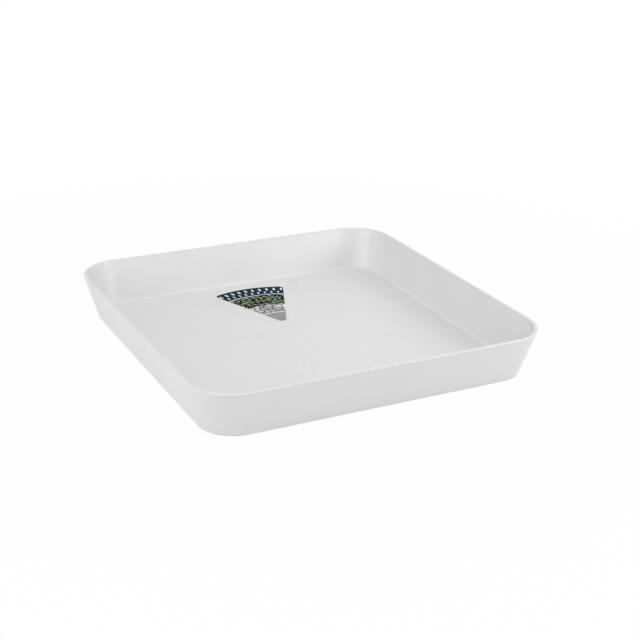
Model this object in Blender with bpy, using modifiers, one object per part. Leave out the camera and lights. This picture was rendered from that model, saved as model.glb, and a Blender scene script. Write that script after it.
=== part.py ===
"""Square plant saucer: one moulded tray with a wedge shaped film label on its floor.

Metres, +Z up. The origin is at the middle of the base, on the ground. +Y points at
the wall that the label's round edge faces.
"""

import math

import bmesh
import bpy
from mathutils import Matrix, Vector

# Overall form of the tray
RIM_WIDTH = 0.3000
HEIGHT = 0.0392
DRAFT = math.radians(16.3)
RIM_CORNER_RADIUS = 0.0367
BASE_CORNER_RADIUS = 0.0280

# Walls and floor
WALL = 0.0032
FLOOR = 0.0020
FLOOR_FILLET = 0.0030
RIM_EDGE_RADIUS = 0.0009
BASE_EDGE_RADIUS = 0.0012

# Underside: a flat foot band round a shallow recess, with the mark of the gate
FOOT_WIDTH = 0.0090
RECESS = 0.0008
GATE_RADIUS = 0.0055
GATE_DEPTH = 0.0004
GATE_PIP_RADIUS = 0.0011
GATE_PIP_HEIGHT = 0.0003

# Shallow radial channels that let water spread under a pot
CHANNEL_COUNT = 8
CHANNEL_WIDTH = 0.0112
CHANNEL_DEPTH = 0.0003
CHANNEL_START = 0.0330
CHANNEL_END_MARGIN = 0.0110
CHANNEL_CORNER_RADIUS = 0.0024
CHANNEL_EDGE_RADIUS = 0.0002

# Film label, a slice of a disc stuck by hand between two channels, a little off square
LABEL_RADIUS = 0.0900
LABEL_CORNER_RADIUS = 0.0044
LABEL_SIDE_SHIFT = 0.0026
LABEL_TURN = math.radians(1.0)
LABEL_SLACK_SHARE = 0.353
LABEL_THICKNESS = 0.0002
LABEL_CLEARANCE = 0.0003

# Fineness of round stretches
CORNER_STEPS = 16
EDGE_STEPS = 4
FILLET_STEPS = 6
LABEL_ARC_STEPS = 16
LABEL_CORNER_STEPS = 6
GATE_STEPS = 32

CUT_MARGIN = 0.001

# The wall runs up to a sharp rim corner, and rounding that brings it back to the rim's width
RIM_OVERRUN = RIM_EDGE_RADIUS * (1 / math.tan((math.pi / 2 - DRAFT) / 2) - 1)
RIM_HALF = RIM_WIDTH / 2 + RIM_OVERRUN
BASE_HALF = RIM_HALF - HEIGHT * math.tan(DRAFT)

# The floor is flat as far as the fillet at the foot of the wall
FLOOR_TOP = RECESS + FLOOR
FLOOR_EDGE = BASE_HALF + FLOOR_TOP * math.tan(DRAFT) - WALL
FLOOR_FLAT = FLOOR_EDGE - FLOOR_FILLET / math.tan((math.pi / 2 + DRAFT) / 2)

CHANNEL_HALF_PITCH = math.pi / CHANNEL_COUNT


def clear_scene():
    for obj in list(bpy.data.objects):
        bpy.data.objects.remove(obj, do_unlink=True)


def new_collection(name):
    collection = bpy.data.collections.new(name)
    bpy.context.scene.collection.children.link(collection)
    return collection


def new_material(name, colour, roughness):
    material = bpy.data.materials.new(name)
    material.use_nodes = True
    shader = material.node_tree.nodes["Principled BSDF"]
    shader.inputs["Base Color"].default_value = (*colour, 1)
    shader.inputs["Roughness"].default_value = roughness
    shader.inputs["Metallic"].default_value = 0
    material.diffuse_color = (*colour, 1)
    return material


def add_object(name, mesh, collection):
    obj = bpy.data.objects.new(name, mesh)
    collection.objects.link(obj)
    return obj


def mesh_from(bm, name):
    mesh = bpy.data.meshes.new(name)
    bm.to_mesh(mesh)
    bm.free()
    return mesh


def hide_cutter(obj):
    obj.hide_render = True
    obj.display_type = "WIRE"


def short_arc(centre, start, end, steps):
    """Points from start to end, the short way round a centre at equal distance from both."""
    radius = (start - centre).length
    first = (start - centre).normalized()
    last = (end - centre).normalized()
    return [centre + first.slerp(last, step / steps) * radius for step in range(steps + 1)]


def rounded_corner(before, corner, after, radius, steps):
    """Points of the arc that rounds a corner of a flat outline."""
    before, corner, after = Vector(before), Vector(corner), Vector(after)
    into = (before - corner).normalized()
    out = (after - corner).normalized()
    half_angle = into.angle(out) / 2
    centre = corner + (into + out).normalized() * radius / math.sin(half_angle)
    cut_back = radius / math.tan(half_angle)
    return short_arc(centre, corner + into * cut_back, corner + out * cut_back, steps)


def outer_half(z):
    """Half width of the tray's outer skin at a height."""
    return BASE_HALF + z * math.tan(DRAFT)


def outer_corner(z):
    """Corner radius of the tray's outer skin at a height."""
    return BASE_CORNER_RADIUS + (RIM_CORNER_RADIUS - BASE_CORNER_RADIUS) * z / HEIGHT


def wall_section():
    """Half section through a wall, from the underside recess over the rim to the floor."""
    foot_inner = BASE_HALF - FOOT_WIDTH
    recess_edge = (foot_inner - RECESS, RECESS)
    foot_edge = (foot_inner, 0)
    base = (BASE_HALF, 0)
    rim_out = (RIM_HALF, HEIGHT)
    rim_in = (RIM_HALF - WALL, HEIGHT)
    floor_edge = (FLOOR_EDGE, FLOOR_TOP)
    floor_middle = (0, FLOOR_TOP)
    section = [Vector(recess_edge), Vector(foot_edge)]
    section += rounded_corner(foot_edge, base, rim_out, BASE_EDGE_RADIUS, EDGE_STEPS)
    section += rounded_corner(base, rim_out, rim_in, RIM_EDGE_RADIUS, EDGE_STEPS)
    section += rounded_corner(rim_out, rim_in, floor_edge, RIM_EDGE_RADIUS, EDGE_STEPS)
    section += rounded_corner(rim_in, floor_edge, floor_middle, FLOOR_FILLET, FILLET_STEPS)
    return section


def rounded_square(half, radius, z):
    """Points round a square with round corners, counterclockwise from the +X side."""
    points = []
    for quarter in range(4):
        turn = Matrix.Rotation(quarter * math.pi / 2, 3, "Z")
        for step in range(CORNER_STEPS + 1):
            angle = step / CORNER_STEPS * math.pi / 2
            x = half - radius + radius * math.cos(angle)
            y = half - radius + radius * math.sin(angle)
            points.append(turn @ Vector((x, y, z)))
    return points


def loft(rings, name):
    """Closed skin through rings of equal point count, with a flat face over each end."""
    bm = bmesh.new()
    loops = [[bm.verts.new(point) for point in ring] for ring in rings]
    for lower, upper in zip(loops, loops[1:]):
        for index in range(len(lower)):
            bm.faces.new((lower[index - 1], lower[index], upper[index], upper[index - 1]))
    bm.faces.new(reversed(loops[0]))
    bm.faces.new(loops[-1])
    bmesh.ops.recalc_face_normals(bm, faces=bm.faces)
    return mesh_from(bm, name)


def make_shell(collection):
    """The tray without its channels and gate mark: the wall section carried round the corners."""
    rings = []
    for half, z in wall_section():
        inset = outer_half(z) - half
        rings.append(rounded_square(half, outer_corner(z) - inset, z))
    return add_object("saucer_tray", loft(rings, "saucer_tray"), collection)


def make_channel_cutter(collection):
    """Radial cutter with one arm for each channel, between the floor's axes and diagonals."""
    length = FLOOR_FLAT / math.cos(CHANNEL_HALF_PITCH) - CHANNEL_END_MARGIN - CHANNEL_START
    size = Matrix.Diagonal((length, CHANNEL_WIDTH, 2 * CHANNEL_DEPTH, 1))
    place = Matrix.Translation((CHANNEL_START + length / 2, 0, FLOOR_TOP))
    bm = bmesh.new()
    for index in range(CHANNEL_COUNT):
        turn = Matrix.Rotation(CHANNEL_HALF_PITCH * (2 * index + 1), 4, "Z")
        bmesh.ops.create_cube(bm, size=1, matrix=turn @ place @ size)
    upright = [edge for edge in bm.edges if abs(edge.verts[0].co.z - edge.verts[1].co.z) > CHANNEL_DEPTH]
    bmesh.ops.bevel(bm, geom=upright, offset=CHANNEL_CORNER_RADIUS, segments=4, profile=0.5, affect="EDGES")
    bottom = [edge for edge in bm.edges if max(vert.co.z for vert in edge.verts) < FLOOR_TOP]
    bmesh.ops.bevel(bm, geom=bottom, offset=CHANNEL_EDGE_RADIUS, segments=2, profile=0.5, affect="EDGES")
    cutter = add_object("channel_cutter", mesh_from(bm, "channel_cutter"), collection)
    hide_cutter(cutter)
    return cutter


def make_gate_cutter(collection):
    """Turned cutter for the round gate mark under the floor, hollow where the pip stays."""
    roof = RECESS + GATE_DEPTH
    profile = [
        (0, roof - GATE_PIP_HEIGHT),
        (GATE_PIP_RADIUS, roof - GATE_PIP_HEIGHT),
        (GATE_PIP_RADIUS, roof),
        (GATE_RADIUS, roof),
        (GATE_RADIUS, RECESS - CUT_MARGIN),
        (0, RECESS - CUT_MARGIN),
    ]
    bm = bmesh.new()
    verts = [bm.verts.new((x, 0, z)) for x, z in profile]
    for first, second in zip(verts, verts[1:]):
        bm.edges.new((first, second))
    cutter = add_object("gate_cutter", mesh_from(bm, "gate_cutter"), collection)
    screw = cutter.modifiers.new("Turn", "SCREW")
    screw.steps = GATE_STEPS
    screw.render_steps = GATE_STEPS
    screw.use_merge_vertices = True
    screw.merge_threshold = 0.00001
    hide_cutter(cutter)
    return cutter


def add_boolean(obj, other, operation):
    modifier = obj.modifiers.new(other.name, "BOOLEAN")
    modifier.operation = operation
    modifier.solver = "EXACT"
    modifier.object = other


def make_tray(parts, cutters):
    tray = make_shell(parts)
    add_boolean(tray, make_channel_cutter(cutters), "DIFFERENCE")
    add_boolean(tray, make_gate_cutter(cutters), "DIFFERENCE")
    tray.data.shade_smooth()
    tray.data.set_sharp_from_angle(angle=math.radians(30))
    tray.data.materials.append(new_material("white_polypropylene", (0.70, 0.70, 0.70), 0.40))
    return tray


def label_apex():
    """Place of the label's point, with the slack between the channels and the wall shared out."""
    sideways = CHANNEL_WIDTH / 2 + abs(LABEL_SIDE_SHIFT) * math.cos(CHANNEL_HALF_PITCH)
    swing = LABEL_RADIUS * math.sin(abs(LABEL_TURN))
    nearest = (sideways + swing) / math.sin(CHANNEL_HALF_PITCH)
    slack = FLOOR_FLAT - nearest - LABEL_RADIUS
    return LABEL_SIDE_SHIFT, nearest + slack * LABEL_SLACK_SHARE


def label_outline():
    """Slice as wide as the channels' pitch, its point at the origin and its axis along +Y."""
    radius = LABEL_CORNER_RADIUS
    right = Vector((math.sin(CHANNEL_HALF_PITCH), math.cos(CHANNEL_HALF_PITCH)))
    left = Vector((-right.x, right.y))
    points = rounded_corner(left, (0, 0), right, radius, LABEL_CORNER_STEPS)

    # A corner circle touches the straight side from within and the round edge from inside
    reach = LABEL_RADIUS - radius
    lean = CHANNEL_HALF_PITCH - math.asin(radius / reach)
    centre = Vector((math.sin(lean), math.cos(lean))) * reach
    side_touch = right * math.sqrt(reach ** 2 - radius ** 2)
    edge_touch = centre.normalized() * LABEL_RADIUS
    corner = short_arc(centre, side_touch, edge_touch, LABEL_CORNER_STEPS)
    mirrored = [Vector((-point.x, point.y)) for point in reversed(corner)]
    round_edge = short_arc(Vector((0, 0)), edge_touch, mirrored[0], LABEL_ARC_STEPS)
    return points + corner + round_edge[1:-1] + mirrored


def make_label(parts):
    curve = bpy.data.curves.new("floor_label", "CURVE")
    curve.dimensions = "2D"
    curve.fill_mode = "BOTH"
    curve.extrude = LABEL_THICKNESS / 2
    points = label_outline()
    spline = curve.splines.new("POLY")
    spline.points.add(len(points) - 1)
    for knot, point in zip(spline.points, points):
        knot.co = (point.x, point.y, 0, 1)
    spline.use_cyclic_u = True
    label = add_object("floor_label", curve, parts)
    label.location = (*label_apex(), FLOOR_TOP + LABEL_CLEARANCE + LABEL_THICKNESS / 2)
    label.rotation_euler.z = -LABEL_TURN
    curve.materials.append(new_material("printed_label_film", (0.20, 0.24, 0.25), 0.30))
    return label


def main():
    clear_scene()
    parts = new_collection("plant_saucer")
    cutters = new_collection("cutters")
    make_tray(parts, cutters)
    make_label(parts)


main()
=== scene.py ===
import math

import bmesh
import bpy
from mathutils import Matrix, Vector


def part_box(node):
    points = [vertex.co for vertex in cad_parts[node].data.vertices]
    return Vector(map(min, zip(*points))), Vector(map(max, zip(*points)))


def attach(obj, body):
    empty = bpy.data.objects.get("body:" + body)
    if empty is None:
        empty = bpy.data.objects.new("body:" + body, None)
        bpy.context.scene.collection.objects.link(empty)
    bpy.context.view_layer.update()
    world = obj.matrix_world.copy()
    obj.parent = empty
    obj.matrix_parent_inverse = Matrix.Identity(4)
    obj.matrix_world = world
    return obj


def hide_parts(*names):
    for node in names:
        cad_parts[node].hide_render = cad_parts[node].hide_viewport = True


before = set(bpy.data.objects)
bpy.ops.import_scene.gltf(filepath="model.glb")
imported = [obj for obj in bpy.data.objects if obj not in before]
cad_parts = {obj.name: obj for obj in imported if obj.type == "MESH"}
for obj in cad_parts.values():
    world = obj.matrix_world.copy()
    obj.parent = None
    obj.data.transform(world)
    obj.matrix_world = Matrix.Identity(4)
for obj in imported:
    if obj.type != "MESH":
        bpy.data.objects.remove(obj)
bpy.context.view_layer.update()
print("frame loaded")

mm = 0.001
near = 0.02 * mm  # a point this close to an outline counts as on it
levelNormal = 0.9  # the least Z in the normal of a face that looks up or down
scene = bpy.context.scene
scene.view_settings.view_transform = "Standard"


# Shared helpers for modelling in edit mode

def deselectAll():
    bpy.ops.object.select_all(action="DESELECT")


def makeActive(piece):
    deselectAll()
    piece.select_set(True)
    bpy.context.view_layer.objects.active = piece


def startEdit(name):
    piece = bpy.context.object
    piece.name = name
    piece.data.name = name
    bpy.ops.object.mode_set(mode="EDIT")
    return piece


def endEdit():
    bpy.ops.object.mode_set(mode="OBJECT")


def pick(kind, test):
    # selects only the edges or faces that pass the test
    bpy.ops.mesh.select_mode(type=kind)
    bpy.ops.mesh.select_all(action="DESELECT")
    mesh = bpy.context.edit_object.data
    bm = bmesh.from_edit_mesh(mesh)
    for part in {"EDGE": bm.edges, "FACE": bm.faces}[kind]:
        part.select_set(test(part))
    bm.select_flush_mode()
    bmesh.update_edit_mesh(mesh)


def onOutline(point, half, corner, level):
    # whether a point is on a square outline with round corners
    inner = half - corner
    dx = abs(point.x) - inner
    dy = abs(point.y) - inner
    gap = math.hypot(max(dx, 0), max(dy, 0)) + min(max(dx, dy), 0) - corner
    return abs(gap) < near and abs(point.z - level) < near


def pickOutlines(*outlines):
    def onAny(edge):
        return any(all(onOutline(vert.co, *outline) for vert in edge.verts)
                   for outline in outlines)

    pick("EDGE", onAny)


def roundOutline(outline, radius, opening, segments):
    # opening is the angle between the two faces, from which the cut back for the radius follows
    pickOutlines(outline)
    bpy.ops.mesh.bevel(offset=radius / math.tan(opening / 2), segments=segments)


def applyModifier(piece, kind, **settings):
    modifier = piece.modifiers.new(kind.lower(), kind)
    for name, value in settings.items():
        setattr(modifier, name, value)
    makeActive(piece)
    bpy.ops.object.modifier_apply(modifier=modifier.name)


def cutAway(piece, tool):
    applyModifier(piece, "BOOLEAN", object=tool, operation="DIFFERENCE", solver="EXACT")
    bpy.data.objects.remove(tool, do_unlink=True)


def smooth(piece, angle, flatWeight):
    makeActive(piece)
    bpy.ops.object.shade_smooth_by_angle(angle=angle)
    applyModifier(piece, "WEIGHTED_NORMAL", keep_sharp=True, weight=flatWeight)


# Shared helpers for materials

def hexColour(code):
    # an sRGB hex value as linear red, green, blue and alpha
    levels = [int(code[i:i + 2], 16) / 255 for i in (1, 3, 5)]
    return [v / 12.92 if v <= 0.04045 else ((v + 0.055) / 1.055) ** 2.4 for v in levels] + [1]


def startNodes(owner):
    # owner is a material or the world
    owner.use_nodes = True
    owner.node_tree.nodes.clear()
    return owner


def addNode(owner, kind, inputs=None, **settings):
    # an input that is given a socket, or a node for its first output, is linked
    tree = owner.node_tree
    node = tree.nodes.new("ShaderNode" + kind)
    for name, value in settings.items():
        setattr(node, name, value)
    for name, value in (inputs or {}).items():
        if isinstance(value, bpy.types.Node):
            value = value.outputs[0]
        if isinstance(value, bpy.types.NodeSocket):
            tree.links.new(value, node.inputs[name])
        else:
            node.inputs[name].default_value = value
    return node


def newMaterial(name):
    return startNodes(bpy.data.materials.new(name))


def layered(material, colour, layers):
    # lays flat tints over a colour, each through its mask
    for mask, tint in layers:
        mix = addNode(material, "Mix", {"Factor": mask, "A": colour, "B": hexColour(tint)},
                      data_type="RGBA")
        colour = mix.outputs["Result"]
    return colour


# Camera, at the photograph's angle

camera = {
    "from": (-0.45203, -0.89088, 0.43102),  # metres, in the object's frame
    "at": (0.01454, -0.00624, 0.01875),
    "roll": math.radians(1.61),  # the photograph leans a little
    "lens": 72.35,
    "sensor": 36.0,
    "clip": (0.05, 50),  # metres
}


def placeCamera():
    data = bpy.data.cameras.new("photoCamera")
    data.lens = camera["lens"]
    data.sensor_width = camera["sensor"]
    data.clip_start, data.clip_end = camera["clip"]
    eye = bpy.data.objects.new("photoCamera", data)
    scene.collection.objects.link(eye)
    aim = Vector(camera["at"]) - Vector(camera["from"])
    turn = aim.to_track_quat("-Z", "Y").to_matrix().to_4x4()
    lean = Matrix.Rotation(camera["roll"], 4, "Z")
    eye.matrix_world = Matrix.Translation(camera["from"]) @ turn @ lean
    scene.camera = eye


placeCamera()
print("camera placed")


# Tray

tray = {
    "draft": math.radians(16.3),
    "rimCorner": 36.7 * mm,
    "baseCorner": 28.0 * mm,
    "wall": 3.2 * mm,
    "rimRound": 0.9 * mm,
    "rimSlack": 0.02 * mm,  # keeps the finer rounding inside the CAD box
    "baseRound": 1.2 * mm,
    "floorTop": 2.8 * mm,
    "floorFillet": 3.0 * mm,
    "foot": 9.0 * mm,
    "recess": 0.8 * mm,
    "recessRound": 0.3 * mm,
    "recessAngle": math.radians(135),  # its sides rise from the foot at 45 degrees
    "cornerSegments": 32,
    "edgeSegments": 6,
    "filletSegments": 10,
    "recessSegments": 3,
    "smoothAngle": math.radians(25),
    "flatWeight": 100,  # beside a rounded edge the large flat faces set the shading
}
channels = {
    "count": 8,
    "width": 11.2 * mm,  # of the flat bottom
    "depth": 0.3 * mm,
    "start": 33.0 * mm,
    "endMargin": 11.0 * mm,
    "cornerRound": 2.4 * mm,
    "cornerSegments": 6,
    "sideSlope": math.radians(60),
    "toolRise": 0.2 * mm,  # how far above the floor the tool's sides start
}
gateMark = {
    "radius": 5.5 * mm,
    "depth": 0.4 * mm,
    "sides": 48,
    "pipRadius": 1.1 * mm,
    "pipHeight": 0.3 * mm,
    "toolReach": 0.2 * mm,  # how far the tool stands out under the foot
}

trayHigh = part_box("saucer_tray")[1]
height = trayHigh.z
slope = math.tan(tray["draft"])
steepAngle = math.pi / 2 - tray["draft"]  # at the rim's outer edge
wideAngle = math.pi / 2 + tray["draft"]  # at the rim's inner edge, the base and the floor
rimCutBack = tray["rimRound"] * (1 / math.tan(steepAngle / 2) - 1)
rimHalf = trayHigh.x - tray["rimSlack"] + rimCutBack
baseHalf = rimHalf - height * slope
floorHalf = baseHalf + tray["floorTop"] * slope - tray["wall"]
floorFlat = floorHalf - tray["floorFillet"] / math.tan(wideAngle / 2)
cornerGrowth = (tray["rimCorner"] - tray["baseCorner"]) / height
floorCorner = tray["baseCorner"] + cornerGrowth * tray["floorTop"] - tray["wall"]

# outlines: half width, corner radius, level
rimOuter = (rimHalf, tray["rimCorner"], height)
rimInner = (rimHalf - tray["wall"], tray["rimCorner"] - tray["wall"], height)
floorEdge = (floorHalf, floorCorner, tray["floorTop"])
baseEdge = (baseHalf, tray["baseCorner"], 0)
footInner = (baseHalf - tray["foot"], tray["baseCorner"] - tray["foot"], 0)


def addOutline(half, corner, level):
    # adds a square outline with round corners to the mesh and leaves it selected
    bpy.ops.mesh.primitive_plane_add(size=2 * half, location=(0, 0, level))
    bpy.ops.mesh.bevel(offset=corner, segments=tray["cornerSegments"], affect="VERTICES")
    bpy.ops.mesh.delete(type="ONLY_FACE")


def modelShell():
    # the outer wall, between outlines in a mesh that starts empty
    deselectAll()
    bpy.ops.mesh.primitive_plane_add()
    shell = startEdit("moulded_tray")
    bpy.ops.mesh.select_all(action="SELECT")
    bpy.ops.mesh.delete(type="VERT")
    addOutline(*baseEdge)
    addOutline(*rimOuter)
    bpy.ops.mesh.select_all(action="SELECT")
    bpy.ops.mesh.bridge_edge_loops()

    # the rim's flat top, then the inner wall down to the floor
    pickOutlines(rimOuter)
    bpy.ops.mesh.edge_face_add()
    bpy.ops.mesh.inset(thickness=tray["wall"])
    bpy.ops.mesh.delete(type="ONLY_FACE")
    addOutline(*floorEdge)
    pickOutlines(rimInner, floorEdge)
    bpy.ops.mesh.bridge_edge_loops()
    pickOutlines(floorEdge)
    bpy.ops.mesh.edge_face_add()

    # underside: a foot band round a shallow recess
    pickOutlines(baseEdge)
    bpy.ops.mesh.edge_face_add()
    bpy.ops.mesh.inset(thickness=tray["foot"])
    bpy.ops.mesh.inset(thickness=tray["recess"])
    bpy.ops.transform.translate(value=(0, 0, tray["recess"]))
    bpy.ops.mesh.select_all(action="SELECT")
    bpy.ops.mesh.normals_make_consistent(inside=False)

    # every edge of a moulding is a little round
    roundOutline(footInner, tray["recessRound"], tray["recessAngle"], tray["recessSegments"])
    roundOutline(rimOuter, tray["rimRound"], steepAngle, tray["edgeSegments"])
    roundOutline(rimInner, tray["rimRound"], wideAngle, tray["edgeSegments"])
    roundOutline(baseEdge, tray["baseRound"], wideAngle, tray["edgeSegments"])
    roundOutline(floorEdge, tray["floorFillet"], wideAngle, tray["filletSegments"])
    endEdit()
    return shell


def modelChannels():
    # the tool for one channel along +X, copied round the floor between its axes and diagonals
    pitch = math.pi / channels["count"]
    end = floorFlat / math.cos(pitch) - channels["endMargin"]
    rise = channels["toolRise"]
    drop = rise + channels["depth"]
    spread = drop / math.tan(channels["sideSlope"])
    sidesStart = tray["floorTop"] + rise
    deselectAll()
    bpy.ops.mesh.primitive_cube_add(
        size=1,
        location=((channels["start"] + end) / 2, 0, sidesStart + rise / 2),
        scale=(end - channels["start"] + 2 * spread, channels["width"] + 2 * spread, rise),
    )
    bpy.ops.object.transform_apply(location=True, rotation=False, scale=True)
    tool = startEdit("floor_channels")
    pick("EDGE", lambda edge: abs(edge.verts[0].co.z - edge.verts[1].co.z) > rise / 2)
    bpy.ops.mesh.bevel(offset=channels["cornerRound"] + spread,
                       segments=channels["cornerSegments"])
    pick("FACE", lambda face: face.normal.z < -levelNormal)
    bpy.ops.mesh.inset(thickness=spread)
    bpy.ops.transform.translate(value=(0, 0, -drop))
    bpy.ops.mesh.select_all(action="SELECT")
    for step in range(channels["count"]):
        if step:
            bpy.ops.mesh.duplicate()
        turn = 2 * pitch if step else pitch
        bpy.ops.transform.rotate(value=turn, orient_axis="Z", center_override=(0, 0, 0))
    endEdit()
    return tool


def modelGateMark():
    # the tool that presses the gate mark in, hollow where the pip stays
    roof = tray["recess"] + gateMark["depth"]
    tall = roof + gateMark["toolReach"]
    deselectAll()
    bpy.ops.mesh.primitive_cylinder_add(vertices=gateMark["sides"], radius=gateMark["radius"],
                                        depth=tall, location=(0, 0, roof - tall / 2))
    bpy.ops.object.transform_apply(location=True, rotation=False, scale=False)
    tool = startEdit("gate_mark")
    pick("FACE", lambda face: face.normal.z > levelNormal)
    bpy.ops.mesh.inset(thickness=gateMark["radius"] - gateMark["pipRadius"])
    pip = (0, 0, -gateMark["pipHeight"])
    bpy.ops.mesh.extrude_region_move(TRANSFORM_OT_translate={"value": pip})
    endEdit()
    return tool


plastic = {
    "colour": "#E3E3E3",
    "deepColour": "#DFDFDF",  # where the melt set slowly
    "ior": 1.49,
    "gloss": 0.28,  # roughness of the best polished patches and of the dullest
    "dull": 0.34,
    "polishRange": (0.5, 1.0),  # noise levels of the two
    "noises": {  # size, and how many finer steps it has
        "mottle": (60 * mm, 3),
        "patch": (24 * mm, 4),
        "grain": (1.2 * mm, 2),  # the spark eroded skin, drawn coarser than its 0.2 mm to show
        "sink": (36 * mm, 1),  # wide waves where the wall shrank as it cooled
        "scuff": (30 * mm, 5),
        "wear": (3 * mm, 4),
    },
    "depths": {"grain": 0.0010 * mm, "sink": 0.10 * mm, "flow": 0.0012 * mm},
    "flowWidth": 4 * mm,  # streaks that run out from the gate, this wide at flowRadius
    "flowRadius": 70 * mm,
    "flowLength": 50 * mm,
    "flowDetail": 2,
    "flowShare": 0.5,  # of the polish
    "scuffLevel": 0.5,  # hair lines from pots that were pushed about
    "scuffWidth": 0.002,
    "scuffColour": "#E5E5E5",
    "scuffDull": 0.05,
    "wearBand": 1.6 * mm,  # the rim and the foot rub against other saucers and the ground
    "wearRange": (0.45, 0.62),
    # painted shade as well as wear: this grey is darker than the plastic so that the rim's
    # highlight is dimmer
    "wearAndShadeColour": "#DBDBDB",
    "wearDull": 0.06,
}


def polypropylene():
    # white polypropylene, injection moulded: satin and a little waxy, with soft highlights
    # that waver where the wall shrank, faint streaks of the flow, hair lines on the floor and
    # rubbed edges, whose grey is partly wear and partly painted shade that dims the rim's
    # highlight
    material = newMaterial("polypropylene_injection_moulded")
    place = addNode(material, "TexCoord").outputs["Object"]
    axes = addNode(material, "SeparateXYZ", {"Vector": place}).outputs
    noises = {
        name: addNode(material, "TexNoise", {"Vector": place, "Scale": 1 / size, "Detail": detail})
        for name, (size, detail) in plastic["noises"].items()
    }

    # streaks keep to the direction from the gate, which is in the middle of the floor
    flat = addNode(material, "CombineXYZ", {"X": axes["X"], "Y": axes["Y"]})
    heading = addNode(material, "VectorMath", {0: flat}, operation="NORMALIZE")
    fromGate = addNode(material, "VectorMath", {0: flat}, operation="LENGTH").outputs["Value"]
    streaks = plastic["flowRadius"] / plastic["flowWidth"]
    spread = addNode(material, "VectorMath", {0: heading, "Scale": streaks}, operation="SCALE")
    along = addNode(material, "Math", {0: fromGate, 1: plastic["flowLength"]}, operation="DIVIDE")
    lift = addNode(material, "CombineXYZ", {"Z": along})
    streak = addNode(material, "VectorMath", {0: spread, 1: lift}, operation="ADD")
    noises["flow"] = addNode(material, "TexNoise", {
        "Vector": streak,
        "Scale": 1,
        "Detail": plastic["flowDetail"],
    })

    # hair lines are thin contours of a slow noise, on the floor only
    contour = addNode(material, "Math", {
        0: noises["scuff"],
        1: plastic["scuffLevel"],
        2: plastic["scuffWidth"],
    }, operation="COMPARE")
    floorLimit = tray["floorTop"] + channels["depth"]
    onFloor = addNode(material, "Math", {0: axes["Z"], 1: floorLimit}, operation="LESS_THAN")
    scuffed = addNode(material, "Math", {0: contour, 1: onFloor}, operation="MULTIPLY")

    # rubbed spots along the rim and the foot, a grey darker than the plastic: partly wear, partly
    # painted shade that dims the rim's highlight
    middle = height / 2
    edge = middle - plastic["wearBand"]
    fromMiddle = addNode(material, "Math", {0: axes["Z"], 1: middle}, operation="SUBTRACT")
    fromMiddle = addNode(material, "Math", {0: fromMiddle}, operation="ABSOLUTE")
    atEdge = addNode(material, "Math", {0: fromMiddle, 1: edge}, operation="GREATER_THAN")
    spots = addNode(material, "MapRange", {
        "Value": noises["wear"],
        "From Min": plastic["wearRange"][0],
        "From Max": plastic["wearRange"][1],
    })
    wornAndShaded = addNode(material, "Math", {0: spots, 1: atEdge}, operation="MULTIPLY")

    colour = layered(material, hexColour(plastic["colour"]), [
        (noises["mottle"], plastic["deepColour"]),
        (scuffed, plastic["scuffColour"]),
        (wornAndShaded, plastic["wearAndShadeColour"]),
    ])

    polish = addNode(material, "Math", {
        0: noises["flow"],
        1: plastic["flowShare"],
        2: noises["patch"],
    }, operation="MULTIPLY_ADD")
    roughness = addNode(material, "MapRange", {
        "Value": polish,
        "From Min": plastic["polishRange"][0],
        "From Max": plastic["polishRange"][1],
        "To Min": plastic["gloss"],
        "To Max": plastic["dull"],
    })
    for mask, more in ((scuffed, plastic["scuffDull"]), (wornAndShaded, plastic["wearDull"])):
        roughness = addNode(material, "Math", {0: mask, 1: more, 2: roughness},
                            operation="MULTIPLY_ADD")

    relief = 0
    for name, depth in plastic["depths"].items():
        relief = addNode(material, "Math", {0: noises[name], 1: depth, 2: relief},
                         operation="MULTIPLY_ADD")
    bump = addNode(material, "Bump", {"Height": relief, "Distance": 1})
    shader = addNode(material, "BsdfPrincipled", {
        "Base Color": colour,
        "Roughness": roughness,
        "IOR": plastic["ior"],
        "Normal": bump,
    })
    addNode(material, "OutputMaterial", {"Surface": shader})
    return material


def makeTray():
    piece = modelShell()
    cutAway(piece, modelChannels())
    cutAway(piece, modelGateMark())
    smooth(piece, tray["smoothAngle"], tray["flatWeight"])
    piece.data.materials.clear()
    piece.data.materials.append(polypropylene())
    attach(piece, "root")
    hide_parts("saucer_tray")


makeTray()
print("tray made")


# Label

label = {
    "radius": 90.0 * mm,
    "angle": math.radians(45),
    "cornerRound": 4.4 * mm,
    "sideShift": 2.6 * mm,  # stuck on by hand, off the middle and a little off square
    "turn": math.radians(1.0),
    "thickness": 0.16 * mm,
    "gap": 0.02 * mm,
    "border": 0.25 * mm,
    "cornerSteps": 12,
    "arcSteps": 48,
}
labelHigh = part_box("floor_label")[1]
labelApex = Vector((
    label["sideShift"],
    labelHigh.y - label["radius"],
    tray["floorTop"] + label["gap"],
))


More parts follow.
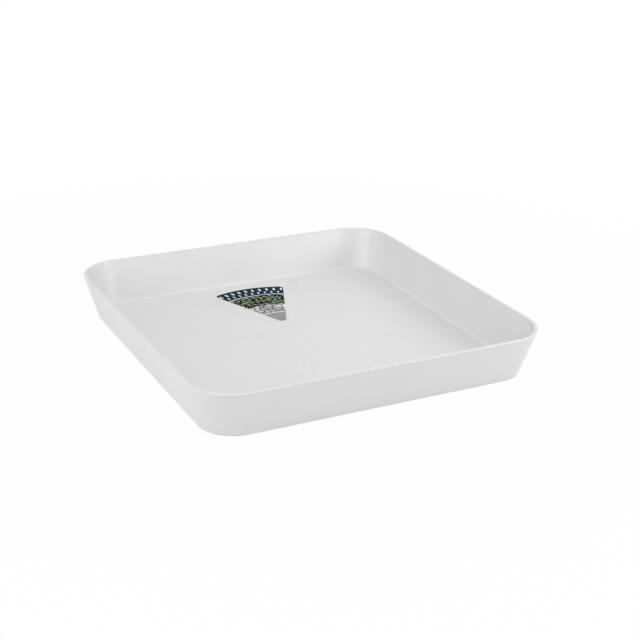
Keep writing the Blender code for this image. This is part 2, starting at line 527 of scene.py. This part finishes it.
def modelLabel():
    # one point is spun and extruded round the slice, which starts with its apex at the origin
    half = label["angle"] / 2
    corner = label["cornerRound"]
    reach = label["radius"] - corner
    lean = half - math.asin(corner / reach)
    apexCentre = Vector((0, corner / math.sin(half), 0))
    rightCentre = Vector((math.sin(lean), math.cos(lean), 0)) * reach
    leftCentre = Vector((-rightCentre.x, rightCentre.y, 0))
    outward = Vector((math.cos(half), -math.sin(half), 0)) * corner  # square to the right side
    start = apexCentre + Vector((-outward.x, outward.y, 0))
    spins = [
        (apexCentre, math.pi - 2 * half, label["cornerSteps"]),
        (rightCentre, math.pi / 2 - lean + half, label["cornerSteps"]),
        (Vector(), 2 * lean, label["arcSteps"]),
        (leftCentre, math.pi / 2 - lean + half, label["cornerSteps"]),
    ]
    deselectAll()
    bpy.ops.mesh.primitive_plane_add(size=mm, location=start)
    bpy.ops.object.transform_apply(location=True, rotation=False, scale=False)
    piece = startEdit("label_film")
    bpy.ops.mesh.select_mode(type="VERT")
    bpy.ops.mesh.select_all(action="SELECT")
    bpy.ops.mesh.merge(type="CENTER")
    for centre, angle, steps in spins:
        # a negative angle spins counterclockwise
        bpy.ops.mesh.spin(steps=steps, angle=-angle, center=centre, axis=(0, 0, 1))
        if centre == apexCentre:
            side = rightCentre - apexCentre
            bpy.ops.mesh.extrude_region_move(TRANSFORM_OT_translate={"value": side})
    bpy.ops.mesh.select_all(action="SELECT")
    bpy.ops.mesh.edge_face_add()
    up = (0, 0, label["thickness"])
    bpy.ops.mesh.extrude_region_move(TRANSFORM_OT_translate={"value": up})
    bpy.ops.mesh.inset(thickness=label["border"])
    bpy.ops.mesh.select_all(action="SELECT")
    bpy.ops.mesh.normals_make_consistent(inside=False)
    # with no window open, this turns clockwise
    bpy.ops.transform.rotate(value=label["turn"], orient_axis="Z", center_override=(0, 0, 0))
    bpy.ops.transform.translate(value=labelApex)
    endEdit()
    return piece


labelPrint = {  # lengths in mm, radii from the slice's apex
    "film": "#F1F2F1",
    "greyedFilm": "#E6E7E5",
    "bands": [  # where each starts, and its ink
        (0, "#A2A6A5"),
        (27.0, "#F2F3F2"),
        (28.2, "#0B0F0E"),
        (71.0, "#F2F3F2"),
        (72.0, "#1C313C"),
    ],
    "rings": {"start": 9.0, "end": 26.0, "step": 3.4, "width": 0.8, "ink": "#7F8685"},
    "stones": {
        "middle": 37.8,  # of their band, which reaches this far to either side
        "reach": 9.2,
        "size": 6.2,
        "gap": 0.07,  # share of the size
        "scatter": 0.8,
        "inks": [  # from this share of the stones on
            (0.0, "#B3B1AD"),
            (0.4, "#D3D1CD"),
            (0.7, "#EFEFED"),
        ],
    },
    "leaves": {
        "middle": 59.6,
        "reach": 11.4,
        "scatter": 0.7,
        "layers": [  # cell size, shift of the cells, half length, half width, dark and pale ink
            (4.6, 0.0, 3.0, 1.4, "#172013", "#5A6A4D"),
            (5.4, 37.0, 3.2, 1.3, "#3A472E", "#ADB89F"),
        ],
    },
    "drops": {
        "pitch": math.radians(4.65),
        "rows": [  # radius, shift in pitches, half width, half height
            (76.6, 0.0, 0.9, 2.3),
            (83.6, 0.5, 1.2, 2.9),
        ],
        "ink": "#D6E2EA",
    },
    "inkSpread": 1.3,  # uneven ink
    "inkDetail": 3,
    "inkLevel": 0.10,
    "gloss": 0.42,  # roughness of the clean film and of its smudges
    "smudged": 0.56,
    "smudge": 9.0,
    "smudgeDetail": 4,
    "smudgeRange": (0.4, 0.7),
    "ripple": 3.2,  # the film lies not quite flat
    "rippleDetail": 2,
    "rippleDepth": 0.012 * mm,
    "specular": 0.01,  # dark inks stay dark even at this low angle, so the film hardly reflects
}


def labelSpace(material):
    # millimetres from the slice's apex, with its axis along Y
    place = addNode(material, "TexCoord").outputs["Object"]
    return addNode(material, "Mapping", {
        "Vector": place,
        "Location": labelApex,
        "Rotation": (0, 0, -label["turn"]),
        "Scale": (mm, mm, mm),
    }, vector_type="TEXTURE")


def filmSurface(material, space, colour):
    # matte film: a faint sheen with dull smudges from handling, and a slight ripple
    smudge = addNode(material, "TexNoise", {
        "Vector": space,
        "Scale": 1 / labelPrint["smudge"],
        "Detail": labelPrint["smudgeDetail"],
    })
    roughness = addNode(material, "MapRange", {
        "Value": smudge,
        "From Min": labelPrint["smudgeRange"][0],
        "From Max": labelPrint["smudgeRange"][1],
        "To Min": labelPrint["gloss"],
        "To Max": labelPrint["smudged"],
    })
    ripple = addNode(material, "TexNoise", {
        "Vector": space,
        "Scale": 1 / labelPrint["ripple"],
        "Detail": labelPrint["rippleDetail"],
    })
    bump = addNode(material, "Bump", {"Height": ripple, "Distance": labelPrint["rippleDepth"]})
    shader = addNode(material, "BsdfPrincipled", {
        "Base Color": colour,
        "Roughness": roughness,
        "Specular IOR Level": labelPrint["specular"],
        "Normal": bump,
    })
    addNode(material, "OutputMaterial", {"Surface": shader})
    return material


def bareFilm():
    # white polypropylene film, die cut: the unprinted edge, greyed a little by handling
    material = newMaterial("polypropylene_film_die_cut")
    space = labelSpace(material)
    greyed = addNode(material, "TexNoise", {"Vector": space, "Scale": 1 / labelPrint["smudge"]})
    colour = layered(material, hexColour(labelPrint["film"]), [(greyed, labelPrint["greyedFilm"])])
    return filmSurface(material, space, colour)


def printBands(material, radius):
    # bands round the slice's apex, the innermost one with ripples
    reach = label["radius"] / mm
    rings = labelPrint["rings"]
    stops = list(labelPrint["bands"])
    innermost = stops[0][1]
    for ring in range(int((rings["end"] - rings["start"]) / rings["step"]) + 1):
        start = rings["start"] + ring * rings["step"]
        stops += [(start, rings["ink"]), (start + rings["width"], innermost)]
    share = addNode(material, "Math", {0: radius, 1: reach}, operation="DIVIDE")
    bands = addNode(material, "ValToRGB", {"Fac": share})
    ramp = bands.color_ramp
    ramp.interpolation = "CONSTANT"
    ramp.elements.remove(ramp.elements[1])
    for start, ink in stops:
        stop = ramp.elements.new(start / reach) if start else ramp.elements[0]
        stop.color = hexColour(ink)
    return bands


def printStones(material, space, radius):
    # pebbles, pale on the dark band, as masks with their inks
    stones = labelPrint["stones"]
    cells = {"Vector": space, "Scale": 1 / stones["size"], "Randomness": stones["scatter"]}
    edge = addNode(material, "TexVoronoi", cells,
                   voronoi_dimensions="2D", feature="DISTANCE_TO_EDGE")
    stone = addNode(material, "TexVoronoi", cells, voronoi_dimensions="2D", feature="F1")
    chance = addNode(material, "SeparateColor", {"Color": stone.outputs["Color"]}).outputs["Red"]
    paved = addNode(material, "Math", {0: radius, 1: stones["middle"], 2: stones["reach"]},
                    operation="COMPARE")
    solid = addNode(material, "Math", {0: edge, 1: stones["gap"]}, operation="GREATER_THAN")
    paved = addNode(material, "Math", {0: paved, 1: solid}, operation="MULTIPLY")
    layers = []
    for least, ink in stones["inks"]:
        chosen = addNode(material, "Math", {0: chance, 1: least}, operation="GREATER_THAN")
        mask = addNode(material, "Math", {0: paved, 1: chosen}, operation="MULTIPLY")
        layers.append((mask, ink))
    return layers


def printLeaves(material, space, radius):
    # leaves, one to a cell and each turned its own way, with a paler half
    leaves = labelPrint["leaves"]
    planted = addNode(material, "Math", {0: radius, 1: leaves["middle"], 2: leaves["reach"]},
                      operation="COMPARE")
    layers = []
    for size, shift, halfLength, halfWidth, darkInk, paleInk in leaves["layers"]:
        bed = addNode(material, "VectorMath", {0: space, 1: (shift, shift, 0)}, operation="ADD")
        cell = addNode(material, "TexVoronoi", {
            "Vector": bed,
            "Scale": 1 / size,
            "Randomness": leaves["scatter"],
        }, voronoi_dimensions="2D", feature="F1").outputs
        fromMiddle = addNode(material, "VectorMath", {0: bed, 1: cell["Position"]},
                             operation="SUBTRACT")
        chance = addNode(material, "SeparateColor", {"Color": cell["Color"]}).outputs["Red"]
        turn = addNode(material, "Math", {0: chance, 1: math.tau}, operation="MULTIPLY")
        turned = addNode(material, "VectorRotate", {"Vector": fromMiddle, "Angle": turn},
                         rotation_type="Z_AXIS")
        blade = addNode(material, "VectorMath", {0: turned, 1: (halfLength, halfWidth, 1)},
                        operation="DIVIDE")
        x, y = addNode(material, "SeparateXYZ", {"Vector": blade}).outputs[:2]
        across = addNode(material, "Math", {0: y}, operation="ABSOLUTE")
        outline = addNode(material, "Math", {0: x, 1: x, 2: across}, operation="MULTIPLY_ADD")
        inside = addNode(material, "Math", {0: outline, 1: 1}, operation="LESS_THAN")
        leaf = addNode(material, "Math", {0: inside, 1: planted}, operation="MULTIPLY")
        upper = addNode(material, "Math", {0: y, 1: 0}, operation="GREATER_THAN")
        lit = addNode(material, "Math", {0: leaf, 1: upper}, operation="MULTIPLY")
        layers += [(leaf, darkInk), (lit, paleInk)]
    return layers


def printDrops(material, space, radius):
    # two rows of drops along the outer band
    drops = labelPrint["drops"]
    axes = addNode(material, "SeparateXYZ", {"Vector": space}).outputs
    angle = addNode(material, "Math", {0: axes["X"], 1: axes["Y"]}, operation="ARCTAN2")
    layers = []
    for row, shift, halfWidth, halfHeight in drops["rows"]:
        shifted = addNode(material, "Math", {0: angle, 1: shift * drops["pitch"]}, operation="ADD")
        fromDrop = addNode(material, "Math", {0: shifted, 1: drops["pitch"] / 2},
                           operation="PINGPONG")
        aside = addNode(material, "Math", {0: fromDrop, 1: radius}, operation="MULTIPLY")
        drop = addNode(material, "Mapping", {
            "Vector": addNode(material, "CombineXYZ", {"X": aside, "Y": radius}),
            "Location": (0, row, 0),
            "Scale": (halfWidth, halfHeight, 1),
        }, vector_type="TEXTURE")
        spread = addNode(material, "VectorMath", {0: drop}, operation="LENGTH").outputs["Value"]
        mask = addNode(material, "Math", {0: spread, 1: 1}, operation="LESS_THAN")
        layers.append((mask, drops["ink"]))
    return layers


def printedFilm():
    # white polypropylene film, gravure printed: flat inks, a little uneven, under matte varnish
    material = newMaterial("polypropylene_film_gravure_printed")
    space = labelSpace(material)
    radius = addNode(material, "VectorMath", {0: space}, operation="LENGTH").outputs["Value"]
    layers = (printStones(material, space, radius) + printLeaves(material, space, radius)
              + printDrops(material, space, radius))
    inks = layered(material, printBands(material, radius), layers)
    uneven = addNode(material, "TexNoise", {
        "Vector": space,
        "Scale": 1 / labelPrint["inkSpread"],
        "Detail": labelPrint["inkDetail"],
    })
    level = addNode(material, "MapRange", {
        "Value": uneven,
        "To Min": 1 - labelPrint["inkLevel"],
        "To Max": 1 + labelPrint["inkLevel"],
    }).outputs["Result"]
    colour = addNode(material, "VectorMath", {0: inks, "Scale": level}, operation="SCALE")
    return filmSurface(material, space, colour)


def makeLabel():
    piece = modelLabel()
    piece.data.materials.clear()
    piece.data.materials.append(bareFilm())
    piece.data.materials.append(printedFilm())
    upper = [face for face in piece.data.polygons if face.normal.z > levelNormal]
    printed = max(upper, key=lambda face: face.area)  # the rest is the border
    printed.material_index = 1
    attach(piece, "root")
    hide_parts("floor_label")


makeLabel()
print("label made")


# Stage: pale floor and soft studio light

studio = {
    "floorSize": 12.0,  # metres
    "floorColour": "#EDEDED",
    "skyColour": "#FFFFFF",
    "white": 1,  # the strength that shows as plain white
    "whiteNear": 0.95,  # share of it by the object, where the rest takes the object's shadow
    "whiteFar": 1.0,
    "shadowReach": (0.25, 0.6),  # metres from the middle, between the two
    "ambient": 0.13,
    # name, azimuth from -Y towards +X and elevation (degrees), distance, width and height
    # (metres), watts
    "softboxes": [
        ("overLeft", 292, 58, 1.5, 1.8, 1.5, 9.0),
        ("overFront", 330, 60, 1.5, 1.8, 1.5, 4.5),
        ("backRight", 120, 50, 1.5, 1.6, 1.3, 5.05),
        ("back", 180, 45, 1.5, 1.6, 1.0, 1.6),
        ("left", 285, 16, 1.5, 0.45, 0.5, 1.35),
        ("frontLeft", 304, 16, 1.5, 1.05, 0.6, 4.4),
        ("nearLeft", 250, 8, 0.7, 0.4, 0.16, 0.36),
        ("frontRight", 38, 14, 1.5, 0.8, 0.6, 2.95),
        ("nearRight", 45, 15, 0.7, 0.35, 0.3, 0.51),
        ("right", 60, 35, 1.5, 1.4, 1.0, 4.7),
    ],
}


def whiteRays(owner):
    # 1 where the stage is seen as plain white: directly, mirrored or through something clear
    path = addNode(owner, "LightPath").outputs
    seen = addNode(owner, "Math", {0: path["Is Camera Ray"], 1: path["Is Glossy Ray"]},
                   operation="MAXIMUM")
    return addNode(owner, "Math", {0: seen, 1: path["Is Transmission Ray"]}, operation="MAXIMUM")


def makeFloor():
    deselectAll()
    bpy.ops.mesh.primitive_plane_add(size=studio["floorSize"])
    floor = bpy.context.object
    floor.name = "studio_floor"
    material = newMaterial("studio_paper")
    place = addNode(material, "TexCoord").outputs["Object"]
    away = addNode(material, "VectorMath", {0: place}, operation="LENGTH").outputs["Value"]
    whiteness = addNode(material, "MapRange", {
        "Value": away,
        "From Min": studio["shadowReach"][0],
        "From Max": studio["shadowReach"][1],
        "To Min": studio["whiteNear"],
        "To Max": studio["whiteFar"],
    })
    share = addNode(material, "Math", {0: whiteRays(material), 1: whiteness}, operation="MULTIPLY")
    paper = addNode(material, "BsdfDiffuse", {"Color": hexColour(studio["floorColour"])})
    white = addNode(material, "Emission", {"Strength": studio["white"]})
    shader = addNode(material, "MixShader", {0: share, 1: paper, 2: white})
    addNode(material, "OutputMaterial", {"Surface": shader})
    floor.data.materials.append(material)


def lightWorld():
    world = startNodes(bpy.data.worlds.new("studio"))
    scene.world = world
    level = addNode(world, "MapRange", {
        "Value": whiteRays(world),
        "To Min": studio["ambient"],
        "To Max": studio["white"],
    })
    sky = addNode(world, "Background", {
        "Color": hexColour(studio["skyColour"]),
        "Strength": level,
    })
    addNode(world, "OutputWorld", {"Surface": sky})


def hangSoftboxes():
    for name, azimuth, elevation, distance, width, tall, watts in studio["softboxes"]:
        turn = math.radians(azimuth)
        rise = math.radians(elevation)
        toLight = Vector((
            math.sin(turn) * math.cos(rise),
            -math.cos(turn) * math.cos(rise),
            math.sin(rise),
        ))
        deselectAll()
        bpy.ops.object.light_add(type="AREA", location=toLight * distance,
                                 rotation=toLight.to_track_quat("Z", "Y").to_euler())
        box = bpy.context.object
        box.name = name
        box.data.shape = "RECTANGLE"
        box.data.size = width
        box.data.size_y = tall
        box.data.energy = watts


makeFloor()
lightWorld()
hangSoftboxes()
print("stage lit")
